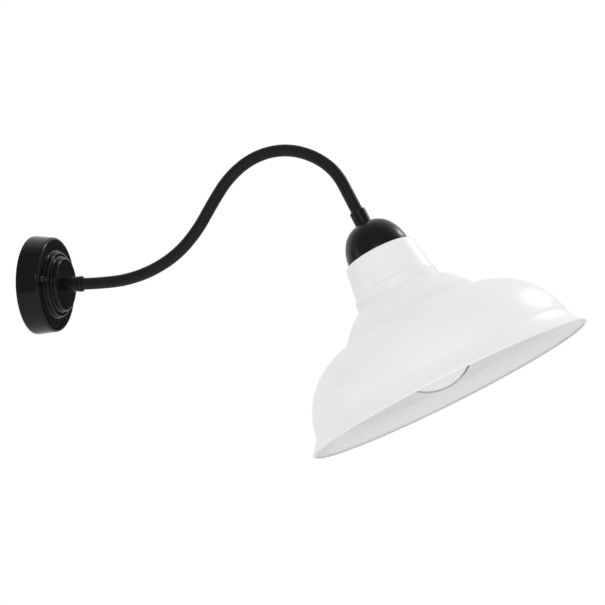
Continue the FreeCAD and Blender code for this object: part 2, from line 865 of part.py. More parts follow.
def shade():
    """Neck, band, sloping tier, deep bowl and a flared lip with a rolled edge."""
    top = SHADE_TOP
    base_radius = d.shade_neck_radius + d.shade_neck_flare
    band = base_radius + d.shade_band_out
    band_end = top + d.shade_neck_height + d.shade_band_drop + d.shade_band_height
    tier = band + d.tier_out
    tier_end = band_end + d.tier_height
    bowl = tier + d.bowl_out
    bowl_end = tier_end + d.bowl_height
    lip = bowl + d.lip_out
    lip_end = bowl_end + d.lip_height
    outline = [
        (d.skirt_radius + d.shade_hole_gap, top),
        (d.shade_neck_radius - d.shade_shoulder, top),
        (d.shade_neck_radius, top + d.shade_shoulder, d.shade_shoulder, "left"),
        (base_radius, top + d.shade_neck_height),
        (band, top + d.shade_neck_height + d.shade_band_drop, d.shade_band_curve, "left"),
        (band, band_end),
        (tier, tier_end, d.tier_curve, "left"),
        (bowl, bowl_end, d.bowl_curve, "left"),
        (lip, lip_end, d.lip_curve, "right"),
        (lip - d.curl_in, lip_end + d.curl_down, d.curl_radius, "left"),
    ]
    keep("shade", spun_shell("shade", outline, d.shade_wall), HEAD)


def lampholder():
    """Cap, skirt, insulator, contacts and the ring that clamps the shade."""
    bore = d.nipple_radius + d.fit_gap
    split = HOLDER_FLANGE_TOP
    turned("holder_cap", [
        (bore, d.holder_top),
        (d.holder_crown_radius, d.holder_top),
        (d.holder_radius, split - d.holder_wall, d.holder_crown_curve, "left"),
        (d.holder_radius, split),
        (d.holder_radius - d.holder_wall, split),
        (d.holder_radius - d.holder_wall, split - d.holder_wall),
        (d.holder_crown_radius, d.holder_top + d.holder_wall,
         d.holder_crown_curve - d.holder_wall, "right"),
        (d.holder_crown_radius, d.holder_top + d.holder_wall * 2),
        (bore, d.holder_top + d.holder_wall * 2),
    ], HEAD)
    inner = d.skirt_radius - d.skirt_wall
    turned("holder_skirt", [
        (inner, split + d.seat_gap),
        (d.holder_radius, split + d.seat_gap),
        (d.holder_radius, HOLDER_FLANGE_END),
        (d.skirt_radius, HOLDER_FLANGE_END),
        (d.skirt_radius, SKIRT_END - d.ring_edge),
        (d.skirt_radius - d.ring_edge, SKIRT_END, d.ring_edge, "left"),
        (inner, SKIRT_END),
    ], HEAD)
    turned("contact_insulator", [
        (0, INSULATOR_TOP),
        (inner - d.seat_gap, INSULATOR_TOP),
        (inner - d.seat_gap, INSULATOR_END),
        (0, INSULATOR_END),
    ], HEAD)
    shell = d.shell_bore + d.shell_wall
    turned("screw_shell", [
        (d.shell_floor_hole, INSULATOR_END),
        (shell, INSULATOR_END),
        (shell, INSULATOR_END + d.shell_depth),
        (d.shell_bore, INSULATOR_END + d.shell_depth),
        (d.shell_bore, INSULATOR_END + d.shell_wall),
        (d.shell_floor_hole, INSULATOR_END + d.shell_wall),
    ], HEAD)
    centre_contact()
    posts = []
    for side in (-1, 1):
        place = HEAD.multiply(at(d.terminal_spread * side, 0, INSULATOR_TOP - d.terminal_height))
        posts.append(cylinder("holder_post", d.terminal_radius, d.terminal_height, place))
    group("holder_terminals", posts)
    edge = d.ring_edge
    inside = d.skirt_radius + d.seat_gap
    turned("shade_ring", [
        (inside, SHADE_UNDERSIDE),
        (d.ring_radius, SHADE_UNDERSIDE),
        (d.ring_radius, SHADE_UNDERSIDE + d.ring_collar - edge),
        (d.ring_radius - edge, SHADE_UNDERSIDE + d.ring_collar, edge, "left"),
        (inside + d.ring_collar, SHADE_UNDERSIDE + d.ring_collar),
        (inside + d.ring_collar, SHADE_UNDERSIDE + d.ring_thick),
        (inside, SHADE_UNDERSIDE + d.ring_thick),
    ], HEAD)


def centre_contact():
    """A bent spring strip riveted beside the axis and raised under the bulb's tip."""
    body = doc.addObject("PartDesign::Body", "centre_contact")
    sketch = body_sketch(body, "XZ_Plane", "contact_outline")
    low = INSULATOR_END
    high = BULB_TIP - d.contact_gap
    thick = d.contact_thick
    foot = d.contact_reach
    knee = foot / 2
    tip = d.tip_radius / 2
    bend = tip / 2
    draw(sketch, [
        (-foot, low),
        (-knee, low),
        (-bend, high - thick),
        (tip, high - thick),
        (tip, high),
        (-bend, high),
        (-knee, low + thick),
        (-foot, low + thick),
    ])
    pad = body.newObject("PartDesign::Pad", "contact_pad")
    pad.Profile = sketch
    pad.setExpression("Length", d.contact_width.text)
    pad.Midplane = True
    keep("centre_contact", body, HEAD)


# --------------------------------------------------------------------------
# Globe bulb
# --------------------------------------------------------------------------


def globe_bulb():
    """Globe, screw cap, black insulator and solder tip."""
    cap_top = BULB_TIP + d.tip_height + d.bulb_insulator_height
    cap_end = BULB_TIP + d.cap_length
    turned("bulb_tip", [
        (0, BULB_TIP),
        (d.tip_radius, BULB_TIP + d.tip_height, d.tip_radius * 2, "left"),
        (0, BULB_TIP + d.tip_height),
    ], HEAD)
    turned("bulb_insulator", [
        (0, BULB_TIP + d.tip_height),
        (d.tip_radius, BULB_TIP + d.tip_height),
        (d.cap_floor_radius, cap_top),
        (0, cap_top),
    ], HEAD)
    cap_outline = [
        (d.tip_radius, cap_top),
        (d.cap_floor_radius, cap_top),
        (d.cap_radius - d.cap_wall, cap_top + d.cap_shoulder),
        (d.cap_radius, cap_top + d.cap_shoulder * 2),
        (d.cap_radius, cap_end),
    ]
    keep("bulb_cap", spun_shell("bulb_cap", cap_outline, d.cap_wall), HEAD)
    throat = d.glass_throat_radius
    rise = GLOBE_CENTRE - cap_end
    reach = throat * throat + rise * rise - d.globe_radius * d.globe_radius
    flare = reach / ((d.globe_radius - throat) * 2)
    share = d.globe_radius / (flare + d.globe_radius)
    inner_share = (d.globe_radius - d.globe_wall) / (flare + d.globe_radius)
    wall = d.globe_wall
    turned("bulb_globe", [
        (throat, cap_end - d.glass_throat_length),
        (throat, cap_end),
        ((throat + flare) * share, GLOBE_CENTRE - rise * share, flare, "right"),
        (d.globe_radius, GLOBE_CENTRE, d.globe_radius, "left"),
        (0, GLOBE_CENTRE + d.globe_radius, d.globe_radius, "left"),
        (0, GLOBE_CENTRE + d.globe_radius - wall),
        (d.globe_radius - wall, GLOBE_CENTRE, d.globe_radius - wall, "right"),
        ((throat + flare) * inner_share, GLOBE_CENTRE - rise * inner_share,
         d.globe_radius - wall, "right"),
        (throat - wall, cap_end, flare + wall, "left"),
        (throat - wall, cap_end - d.glass_throat_length),
    ], HEAD)


# --------------------------------------------------------------------------
# Assembly and export
# --------------------------------------------------------------------------

wall_plate()
mounting_strap()
strap_screws()
terminal_block()
wall_nipple()
ferrules()
for link_number in range(1, len(ARCS) + 1):
    core_link(link_number)
neck_sleeve()
flex_cable()
plate_cores()
lamp_cores()
head_nipple()
socket_cup()
shade()
lampholder()
globe_bulb()
doc.recompute()

for item in doc.Objects:
    if "Invalid" in item.State or "Error" in item.State:
        raise RuntimeError(f"{item.Label} did not build: {item.State}")
for label, piece in nodes.items():
    if piece.Shape.isNull() or not piece.Shape.isValid() or piece.Shape.Volume <= 0:
        raise RuntimeError(f"{label} is not a sound solid")

os.makedirs("parts", exist_ok=True)
for label, piece in nodes.items():
    piece.Shape.exportStep(f"parts/{label}.step")

for number, frame in enumerate(FRAMES):
    aim = frame.Rotation.multVec(Vector(0, 0, 1))
    place = f"{frame.Base.x:8.3f} {frame.Base.z:8.3f}"
    print(f"neck joint {number:2d} at {place}, aim {aim.x:.5f} {aim.z:.5f}")
for label, piece in nodes.items():
    solids = len(piece.Shape.Solids)
    print(f"{label:20s} solids {solids} volume {piece.Shape.Volume / 1000:9.3f} cm3")
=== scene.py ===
import math

import bpy
from mathutils import Matrix, Vector, noise


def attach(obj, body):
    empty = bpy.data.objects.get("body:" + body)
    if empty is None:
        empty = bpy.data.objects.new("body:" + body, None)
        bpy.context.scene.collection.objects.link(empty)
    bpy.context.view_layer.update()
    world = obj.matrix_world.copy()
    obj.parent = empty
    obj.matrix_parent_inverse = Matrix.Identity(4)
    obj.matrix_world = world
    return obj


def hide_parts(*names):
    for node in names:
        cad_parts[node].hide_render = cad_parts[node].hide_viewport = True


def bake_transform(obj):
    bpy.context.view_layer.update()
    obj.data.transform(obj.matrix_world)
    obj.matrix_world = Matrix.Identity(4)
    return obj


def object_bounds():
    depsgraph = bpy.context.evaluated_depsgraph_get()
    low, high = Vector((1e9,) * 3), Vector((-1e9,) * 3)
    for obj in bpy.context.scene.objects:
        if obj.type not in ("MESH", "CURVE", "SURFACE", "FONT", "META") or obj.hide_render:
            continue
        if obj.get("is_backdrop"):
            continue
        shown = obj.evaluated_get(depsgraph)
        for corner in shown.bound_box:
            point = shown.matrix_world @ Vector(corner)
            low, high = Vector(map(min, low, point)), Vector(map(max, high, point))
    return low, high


# A wall light with a bendable neck.  The frame is the wall light's own: the wall is
# the plane X = 0, +X points out of it and +Z up.  Outlines below are in millimetres.

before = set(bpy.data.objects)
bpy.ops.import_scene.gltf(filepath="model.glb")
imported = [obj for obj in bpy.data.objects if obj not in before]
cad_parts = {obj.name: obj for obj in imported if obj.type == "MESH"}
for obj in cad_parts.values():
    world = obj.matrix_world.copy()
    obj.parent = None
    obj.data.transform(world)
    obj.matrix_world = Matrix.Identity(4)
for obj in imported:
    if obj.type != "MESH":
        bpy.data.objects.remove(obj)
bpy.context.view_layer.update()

MM = 0.001
NEAR_ZERO = 1e-6

# --------------------------------------------------------------------------
# Frames along the neck
# --------------------------------------------------------------------------

NECK_START = 52.5
NECK_TURNS = [4.0, 13.5, 14.5, 17.0, 12.0, -4.0, -18.5, -25.0, -26.5, -23.0, -27.0, -0.7]
STRETCH = 381.0 / len(NECK_TURNS)
CRIMP = 9.0


def facing(point, heading):
    """Frame at a point of the plane Y = 0 whose Z axis looks along the heading."""
    turn = Matrix.Rotation(math.radians(90 - heading), 4, "Y")
    return Matrix.Translation(point) @ turn


def along_arc(start, heading, length, turn):
    """The point a length along an arc that sets off at the heading and turns."""
    half = math.radians(turn / 2)
    chord = length * math.sin(half) / half if abs(half) > 1e-9 else length
    aim = math.radians(heading) + half
    return start + Vector((math.cos(aim), 0, math.sin(aim))) * chord


def neck_station(distance):
    """Point and heading of the neck's line a distance past the wall ferrule."""
    point, heading = Vector((NECK_START, 0, 0)), 0.0
    if distance <= 0:
        return point + Vector((distance, 0, 0)), heading
    for turn in NECK_TURNS:
        if distance <= STRETCH:
            share = distance / STRETCH
            return along_arc(point, heading, distance, turn * share), heading + turn * share
        point, heading = along_arc(point, heading, STRETCH, turn), heading + turn
        distance -= STRETCH
    aim = math.radians(heading)
    return point + Vector((math.cos(aim), 0, math.sin(aim))) * distance, heading


WALL = facing(Vector((0, 0, 0)), 0)
HEAD = facing(*neck_station(STRETCH * len(NECK_TURNS)))

# --------------------------------------------------------------------------
# Building blocks
# --------------------------------------------------------------------------

ARC_STEP = 4.0
SUPPORT_GAP = 0.35
LONGEST_RUN = 9.0
SHARP_FROM = math.radians(50)


def arc(start, end, radius, side):
    """Points of the minor arc that turns left or right, its start left out."""
    chord = end - start
    half = chord.length / 2
    rise = math.sqrt(max(radius ** 2 - half ** 2, 0.0))
    sign = 1 if side == "left" else -1
    centre = (start + end) / 2 + Vector((-chord.y, chord.x)).normalized() * rise * sign
    turn = 2 * math.asin(min(half / radius, 1.0)) * sign
    count = max(4, math.ceil(abs(math.degrees(turn)) / ARC_STEP))
    points = []
    for number in range(1, count + 1):
        angle = turn * number / count
        spoke = start - centre
        points.append(centre + Vector((
            spoke.x * math.cos(angle) - spoke.y * math.sin(angle),
            spoke.x * math.sin(angle) + spoke.y * math.cos(angle))))
    return points


def outline(corners):
    """Points of an outline of (radius, station) corners, or (radius, station, bend,
    side) where an arc of that bend ends there."""
    points = [Vector(corners[0])]
    for corner in corners[1:]:
        end = Vector(corner[:2])
        if len(corner) == 4:
            points += arc(points[-1], end, corner[2], corner[3])
        else:
            points.append(end)
    return points


def offset(points, distance):
    """The open outline moved to its left by a distance, mitred at its corners."""
    normals = []
    for a, b in zip(points, points[1:]):
        run = (b - a).normalized()
        normals.append(Vector((-run.y, run.x)))
    moved = []
    for index, point in enumerate(points):
        before = normals[max(index - 1, 0)]
        after = normals[min(index, len(normals) - 1)]
        middle = (before + after).normalized()
        moved.append(point + middle * (distance / max(middle.dot(after), 0.3)))
    return moved


def sheet_loop(corners, wall):
    """Closed outline of a sheet whose outer side is the open outline."""
    outer = outline(corners)
    return outer + offset(outer, wall)[::-1]


def softened(points, radius, least=25.0):
    """The closed outline with every corner that turns the least angle or more rounded."""
    result = []
    for index, point in enumerate(points):
        back = points[index - 1] - point
        on = points[(index + 1) % len(points)] - point
        if back.length < NEAR_ZERO or on.length < NEAR_ZERO:
            continue
        turn = math.pi - back.angle(on)
        if math.degrees(turn) < least:
            result.append(point)
            continue
        reach = min(radius * math.tan(turn / 2), back.length * 0.4, on.length * 0.4)
        start = point + back.normalized() * reach
        end = point + on.normalized() * reach
        steps = max(4, math.ceil(math.degrees(turn) / 15))
        for number in range(steps + 1):
            share = number / steps
            result.append(start * (1 - share) ** 2 + point * 2 * share * (1 - share)
                          + end * share ** 2)
    return result


def supported(points):
    """The closed outline with more points on its long runs, close to their ends."""
    result = []
    for start, end in zip(points, points[1:] + points[:1]):
        result.append(start)
        length = (end - start).length
        if length > SUPPORT_GAP * 4:
            stops = [SUPPORT_GAP / length]
            parts = max(1, math.ceil(length / LONGEST_RUN))
            stops += [part / parts for part in range(1, parts)]
            stops.append(1 - SUPPORT_GAP / length)
            result += [start.lerp(end, stop) for stop in stops]
    return result


def new_piece(name, points, faces, finish, body, stands_for=(), slot=None):
    """A smooth mesh of points in millimetres that rides on a body."""
    mesh = bpy.data.meshes.new(name)
    mesh.from_pydata([tuple(Vector(point) * MM) for point in points], [], faces)
    mesh.polygons.foreach_set("use_smooth", [True] * len(mesh.polygons))
    mesh.update()
    mesh.set_sharp_from_angle(angle=SHARP_FROM)
    piece = bpy.data.objects.new(name, mesh)
    bpy.context.scene.collection.objects.link(piece)
    piece.data.materials.append(finish)
    if body:
        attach(piece, body)
    if stands_for:
        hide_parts(*stands_for)
    return piece


def lathe_mesh(points, place, slices, closed=True, shape=None):
    """Points and faces of an outline of (radius, station) turned about the frame's Z."""
    made, faces, rings = [], [], []
    for radius, station in points:
        if radius < NEAR_ZERO:
            rings.append([len(made)])
            made.append(place @ Vector((0, 0, station)))
            continue
        ring = []
        for number in range(slices):
            angle = math.tau * number / slices
            r, s = shape(radius, station, angle) if shape else (radius, station)
            ring.append(len(made))
            made.append(place @ Vector((r * math.cos(angle), r * math.sin(angle), s)))
        rings.append(ring)
    pairs = list(zip(rings, rings[1:])) + ([(rings[-1], rings[0])] if closed else [])
    for low, high in pairs:
        if len(low) == 1 and len(high) == 1:
            continue
        for number in range(slices):
            after = (number + 1) % slices
            if len(low) == 1:
                faces.append((low[0], high[after], high[number]))
            elif len(high) == 1:
                faces.append((low[number], low[after], high[0]))
            else:
                faces.append((low[number], low[after], high[after], high[number]))
    return made, faces


def turned(name, points, place, finish, body, slices=128, closed=True, shape=None, **more):
    """A lathe piece; its outline runs so that its faces look outwards."""
    made, faces = lathe_mesh(points, place, slices, closed, shape)
    area = sum(a.x * b.y - b.x * a.y for a, b in zip(points, points[1:] + points[:1]))
    if area < 0:
        faces = [face[::-1] for face in faces]
    return new_piece(name, made, faces, finish, body, **more)


# --------------------------------------------------------------------------
# Finishes
# --------------------------------------------------------------------------


def finish(name, colour, rough, *, vary=0.0, rough_vary=0.0, vary_size=12.0, bump=0.0,
           bump_size=1.0, metal=0.0, specular=0.5, second=None):
    """A finish whose colour and roughness drift over the surface and whose skin has a
    fine relief.  Sizes are in millimetres, the relief's height in micrometres."""
    made = bpy.data.materials.new(name)
    made.use_nodes = True
    nodes, links = made.node_tree.nodes, made.node_tree.links
    shader = nodes["Principled BSDF"]
    shader.inputs["Metallic"].default_value = metal
    shader.inputs["Specular IOR Level"].default_value = specular
    where = nodes.new("ShaderNodeTexCoord")
    drift = nodes.new("ShaderNodeTexNoise")
    drift.inputs["Scale"].default_value = 1 / (vary_size * MM)
    drift.inputs["Detail"].default_value = 4.0
    links.new(where.outputs["Object"], drift.inputs["Vector"])
    mix = nodes.new("ShaderNodeMix")
    mix.data_type = "RGBA"
    dark = tuple(channel * (1 - vary) for channel in colour)
    pale = second or tuple(min(channel * (1 + vary), 1.0) for channel in colour)
    mix.inputs["A"].default_value = (*dark, 1)
    mix.inputs["B"].default_value = (*pale, 1)
    links.new(drift.outputs["Fac"], mix.inputs["Factor"])
    links.new(mix.outputs["Result"], shader.inputs["Base Color"])
    spread = nodes.new("ShaderNodeMapRange")
    spread.inputs["From Min"].default_value = 0.3
    spread.inputs["From Max"].default_value = 0.7
    spread.inputs["To Min"].default_value = max(rough - rough_vary, 0.02)
    spread.inputs["To Max"].default_value = rough + rough_vary
    links.new(drift.outputs["Fac"], spread.inputs["Value"])
    links.new(spread.outputs["Result"], shader.inputs["Roughness"])
    if bump:
        grain = nodes.new("ShaderNodeTexNoise")
        grain.inputs["Scale"].default_value = 1 / (bump_size * MM)
        grain.inputs["Detail"].default_value = 3.0
        links.new(where.outputs["Object"], grain.inputs["Vector"])
        relief = nodes.new("ShaderNodeBump")
        relief.inputs["Strength"].default_value = 1.0
        relief.inputs["Distance"].default_value = bump * 1e-6
        links.new(grain.outputs["Fac"], relief.inputs["Height"])
        links.new(relief.outputs["Normal"], shader.inputs["Normal"])
    return made


GLOSS_BLACK = finish("gloss_black_paint", (0.0045, 0.0045, 0.0050), 0.17, vary=0.25,
                     rough_vary=0.04, bump=6, bump_size=1.6, specular=0.22)
SATIN_BLACK = finish("satin_black_paint", (0.0060, 0.0060, 0.0066), 0.31, vary=0.25,
                     rough_vary=0.04, bump=2.5, bump_size=0.9, specular=0.24)
SLEEVE_BLACK = finish("matt_black_sleeve", (0.0085, 0.0085, 0.0095), 0.5, vary=0.2,
                      rough_vary=0.06, vary_size=5, bump=16, bump_size=0.45, specular=0.2)
WHITE_ENAMEL = finish("white_enamel", (0.84, 0.84, 0.845), 0.34, vary=0.01, rough_vary=0.03,
                      vary_size=40, bump=3, bump_size=2.2, specular=0.45)
OPAL = finish("opal_glass", (0.86, 0.86, 0.86), 0.10, vary=0.01, rough_vary=0.02, vary_size=30,
              bump=1, bump_size=6, specular=0.5)
ZINC = finish("bright_zinc", (0.56, 0.57, 0.58), 0.32, vary=0.12, rough_vary=0.08, vary_size=4,
              bump=5, bump_size=0.6, metal=1.0)
STEEL = finish("wound_steel", (0.42, 0.42, 0.43), 0.38, vary=0.15, rough_vary=0.08, vary_size=3,
               bump=8, bump_size=0.5, metal=1.0)
BRASS = finish("plain_brass", (0.62, 0.42, 0.16), 0.30, vary=0.12, rough_vary=0.08, vary_size=2,
               bump=3, bump_size=0.4, metal=1.0)
NICKEL = finish("nickel_cap", (0.60, 0.58, 0.54), 0.25, vary=0.08, rough_vary=0.06, vary_size=3,
                bump=3, bump_size=0.5, metal=1.0)
SOLDER = finish("dull_solder", (0.45, 0.45, 0.46), 0.42, vary=0.15, rough_vary=0.1, vary_size=1,
                bump=12, bump_size=0.6, metal=1.0)
BLACK_SCREW = finish("blackened_screw", (0.012, 0.012, 0.012), 0.24, vary=0.3, rough_vary=0.08,
                     vary_size=1.5, bump=6, bump_size=0.4, specular=0.5)
PHENOLIC = finish("black_phenolic", (0.012, 0.011, 0.011), 0.22, vary=0.2, rough_vary=0.06,
                  vary_size=4, bump=5, bump_size=0.8)
IVORY = finish("ivory_plastic", (0.72, 0.66, 0.52), 0.42, vary=0.04, rough_vary=0.05, vary_size=5,
               bump=8, bump_size=0.5)
SHEATH = finish("cable_sheath", (0.02, 0.02, 0.02), 0.5, vary=0.2, rough_vary=0.06, vary_size=3,
                bump=10, bump_size=0.6)
BROWN = finish("brown_insulation", (0.10, 0.032, 0.012), 0.4, vary=0.1, rough_vary=0.05,
               vary_size=2, bump=5, bump_size=0.5)
BLUE = finish("blue_insulation", (0.02, 0.08, 0.42), 0.4, vary=0.1, rough_vary=0.05, vary_size=2,
              bump=5, bump_size=0.5)
GREEN = finish("green_yellow_insulation", (0.04, 0.28, 0.03), 0.4, vary=0.1, rough_vary=0.05,
               vary_size=3, bump=5, bump_size=0.5, second=(0.75, 0.62, 0.04))
BLACK_GLASS = finish("black_glass", (0.01, 0.01, 0.01), 0.12, vary=0.2, rough_vary=0.04,
                     vary_size=2)


def painted_limb_shade(made, grey, start, end):
    """Paints shade into the glass's colour where it is seen edge on: a painted dark outline at its
    limb.
    """
    nodes, links = made.node_tree.nodes, made.node_tree.links
    shader = nodes["Principled BSDF"]
    lit = shader.inputs["Base Color"].links[0].from_socket
    rim = nodes.new("ShaderNodeLayerWeight")
    rim.inputs["Blend"].default_value = 0.5
    band = nodes.new("ShaderNodeMapRange")
    band.inputs["From Min"].default_value = start
    band.inputs["From Max"].default_value = end
    links.new(rim.outputs["Facing"], band.inputs["Value"])
    mix = nodes.new("ShaderNodeMix")
    mix.data_type = "RGBA"
    links.new(band.outputs["Result"], mix.inputs["Factor"])
    links.new(lit, mix.inputs["A"])
    mix.inputs["B"].default_value = (grey, grey, grey, 1)
    links.new(mix.outputs["Result"], shader.inputs["Base Color"])


# The opal globe gets painted shade: a dark outline painted round its edge-on limb
painted_limb_shade(OPAL, 0.03, 0.68, 0.80)

CAD_FINISHES = {
    ZINC: ["mounting_strap", "wall_nipple", "wall_washer", "wall_lock_nut", "lamp_nipple",
           "lamp_washer", "lamp_lock_nut"],
    STEEL: [f"core_link_{number:02d}" for number in range(1, 13)],
    BRASS: ["earth_screw", "terminal_screws", "holder_terminals", "screw_shell", "centre_contact"],
    BLACK_SCREW: ["cover_screws"],
    PHENOLIC: ["holder_cap", "contact_insulator"],
    IVORY: ["terminal_block"],
    BROWN: ["live_core", "lamp_live_core"],
    BLUE: ["neutral_core", "lamp_neutral_core"],
    GREEN: ["earth_core"],
    SOLDER: ["bulb_tip"],
    BLACK_GLASS: ["bulb_insulator"],
}
for made, names in CAD_FINISHES.items():
    for name in names:
        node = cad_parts[name]
        node.data.materials.clear()
        node.data.materials.append(made)

# --------------------------------------------------------------------------
# Wall plate and ferrules
# --------------------------------------------------------------------------

SHEET_EDGE = 0.3
TURNED_EDGE = 0.25
PLATE_WALL = 1.5
PLATE = [
    (5.05, 33.8),
    (26.3, 33.8), (28.8, 31.3, 2.5, "right"),
    (28.8, 29.8), (30.6, 28.0, 1.8, "left"),
    (32.7, 28.0), (35.2, 25.5, 2.5, "right"),
    (35.2, 24.9), (37.0, 23.1, 1.8, "left"),
    (47.6, 23.1), (50.6, 20.1, 3.0, "right"),
    (52.5, 2.5), (52.5, 0.0),
]
loop = supported(softened(sheet_loop(PLATE, -PLATE_WALL), SHEET_EDGE))
turned("wall_plate_spun", loop, WALL, GLOSS_BLACK, "wall_mount", slices=180,
       stands_for=["wall_plate"], slot="gloss_black")

FERRULE_BORE = [(5.05, 18.7), (5.05, 9.05), (6.3, 9.05), (6.3, 0.0)]
ABOUT = Matrix.Rotation(math.pi, 4, "Y")
WALL_FERRULE_PLACE = WALL @ Matrix.Translation((0, 0, NECK_START)) @ ABOUT
loop = [Vector(p) for p in FERRULE_BORE + [
    (7.45, 0.0), (8.45, 1.0), (8.45, 3.75), (8.0, 4.2), (8.0, 18.7)]]
turned("wall_ferrule_turned", supported(softened(loop, TURNED_EDGE)), WALL_FERRULE_PLACE,
       SATIN_BLACK, "wall_mount", slices=96, stands_for=["wall_ferrule"], slot="satin_black")
loop = [Vector(p) for p in [(5.05, 15.9), (5.05, 9.05), (6.3, 9.05), (6.3, 0.0),
                            (7.5, 0.0), (8.5, 1.0), (8.5, 15.9)]]
turned("lamp_ferrule_turned", supported(softened(loop, TURNED_EDGE)), HEAD, SATIN_BLACK,
       "lamp_head", slices=96, stands_for=["lamp_ferrule"], slot="satin_black")

# --------------------------------------------------------------------------
# Neck: the sleeve and the cable in it, in pieces that each span or part at one hinge
# --------------------------------------------------------------------------

SLEEVE_OUTER = 6.25
SLEEVE_INNER = 5.25
SLEEVE_UNEVEN = 0.006
CABLE_OUTER = 2.8
KNUCKLE_INSET = 0.06
NECK_STEP = 0.8
WAVE_SIZE = 7.0
NECK_BODIES = ["wall_mount"] + [f"neck_{number:02d}" for number in range(2, 12)] + ["lamp_head"]


def bent_tube(name, start, end, outer, inner, made_of, slices, uneven):
    """A tube, or a rod where it has no inner radius, along the neck's line."""
    count = max(2, math.ceil((end - start) / NECK_STEP))
    made, faces, shells = [], [], []
    for radius, sign in ((outer, 1), (inner, -1)):
        if not radius:
            continue
        rings = []
        for number in range(count + 1):
            point, heading = neck_station(start + (end - start) * number / count)
            place = facing(point, heading)
            ring = []
            for slot in range(slices):
                angle = math.tau * slot / slices
                spoke = place @ Vector((radius * math.cos(angle), radius * math.sin(angle), 0))
                wave = 1 + uneven * noise.noise(spoke / WAVE_SIZE) if uneven else 1
                spoke = place @ Vector((radius * wave * math.cos(angle),
                                        radius * wave * math.sin(angle), 0))
                ring.append(len(made))
                made.append(spoke)
            rings.append(ring)
        shells.append(rings)
        for low, high in zip(rings, rings[1:]):
            for slot in range(slices):
                after = (slot + 1) % slices
                face = (low[slot], low[after], high[after], high[slot])
                faces.append(face if sign > 0 else face[::-1])
    for end_ring, flip in ((0, True), (-1, False)):
        ring = shells[0][end_ring]
        if inner:
            inside = shells[1][end_ring]
            caps = [(ring[slot], ring[(slot + 1) % slices], inside[(slot + 1) % slices],
                     inside[slot]) for slot in range(slices)]
        else:
            caps = [tuple(ring)]
        faces += [cap[::-1] if flip else cap for cap in caps]
    return new_piece(name, made, faces, made_of, None)


# Hinges where the sleeve parts and turns on a round knuckle, with a little more than the
# tangent of half their largest bend; at the others one piece spans the hinge.  The cable
# inside stops at each side of a knuckle.
KNUCKLED = {4: 0.135, 5: 0.135, 7: 0.22, 8: 0.22, 10: 0.22, 11: 0.22}
CABLE_GAP = 6.0
CABLE_START = -30.2
CABLE_END = 43.45
for number in range(1, len(NECK_TURNS)):
    first, last = number == 1, number == len(NECK_TURNS) - 1
    middle = (number - 0.5) * STRETCH
    after = middle + STRETCH
    span = [neck_station(place)[0] * MM for place in (middle, after)]
    hinged = NECK_BODIES[number - 1:number + 1]
    for kind, low, high, outer, inner, made, slices, uneven, node, slot in (
            ("neck_sleeve", -CRIMP, CRIMP, SLEEVE_OUTER, SLEEVE_INNER, SLEEVE_BLACK, 64,
             SLEEVE_UNEVEN, "neck_sleeve", "black_sleeve"),
            ("neck_cable", CABLE_START, CABLE_END, CABLE_OUTER, 0, SHEATH, 24, 0, "flex_cable",
             "cable_sheath")):
        start = low if first else middle
        end = STRETCH * len(NECK_TURNS) + high if last else after
        if number not in KNUCKLED:
            piece = bent_tube(f"{kind}_{number:02d}", start, end, outer, inner, made, slices,
                              uneven)
            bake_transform(piece)
            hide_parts(node)
            continue
        hinge = number * STRETCH
        gap = outer * KNUCKLED[number] if inner else CABLE_GAP
        for side, low_end, high_end, body in (("near", start, hinge - gap, hinged[0]),
                                              ("far", hinge + gap, end, hinged[1])):
            piece = bent_tube(f"{kind}_{number:02d}_{side}", low_end, high_end, outer, inner, made,
                              slices, uneven)
            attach(piece, body)
            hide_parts(node)
        if kind == "neck_sleeve":
            radius = outer - KNUCKLE_INSET
            ball = outline([(0.0, -radius), (radius, 0.0, radius, "left"),
                            (0.0, radius, radius, "left")])
            ball[0].x = ball[-1].x = 0.0
            turned(f"neck_knuckle_{number:02d}", ball, facing(*neck_station(hinge)), made,
                   hinged[1], slices=slices, closed=False, stands_for=[node], slot=slot)

# --------------------------------------------------------------------------
# Lamp head
# --------------------------------------------------------------------------

CUP_TOP = 15.9
CUP_WALL = 1.2
SHADE_TOP = CUP_TOP + 34.6
SHADE_WALL = 1.0
SPUN_BEND = 35.0
CUP = [
    (5.05, CUP_TOP), (8.6, CUP_TOP),
    (26.1, CUP_TOP + 11.3, 25.0, "left"),
    (33.1, SHADE_TOP - 0.1, 43.3, "left"),
]
loop = supported(softened(sheet_loop(CUP, CUP_WALL), SHEET_EDGE, least=SPUN_BEND))
turned("socket_cup_spun", loop, HEAD, SATIN_BLACK, "lamp_head", slices=160,
       stands_for=["socket_cup"], slot="satin_black")

SHADE = [
    (20.0, SHADE_TOP),
    (34.0, SHADE_TOP), (38.2, SHADE_TOP + 4.2, 4.2, "left"),
    (42.3, SHADE_TOP + 34.5),
    (44.6, SHADE_TOP + 37.3, 3.2, "left"),
    (44.9, SHADE_TOP + 45.5),
    (73.8, SHADE_TOP + 74.9, 110.0, "left"),
    (137.4, SHADE_TOP + 137.8, 72.9, "left"),
    (148.7, SHADE_TOP + 153.9, 48.0, "right"),
    (146.5, SHADE_TOP + 155.65, 1.5, "left"),
]
loop = supported(softened(sheet_loop(SHADE, SHADE_WALL), SHEET_EDGE, least=SPUN_BEND))
turned("shade_spun", loop, HEAD, WHITE_ENAMEL, "lamp_head", slices=288, stands_for=["shade"],
       slot="white_enamel")

SKIRT_END = SHADE_TOP + 41.5
loop = outline([
    (16.9, 47.5), (22.5, 47.5), (22.5, 50.4), (19.5, 50.4),
    (19.5, SKIRT_END - 1.4), (18.1, SKIRT_END, 1.4, "left"), (16.9, SKIRT_END)])
turned("holder_skirt_moulded", supported(softened(loop, SHEET_EDGE)), HEAD, PHENOLIC,
       "lamp_head", slices=96, stands_for=["holder_skirt"], slot="black_phenolic")

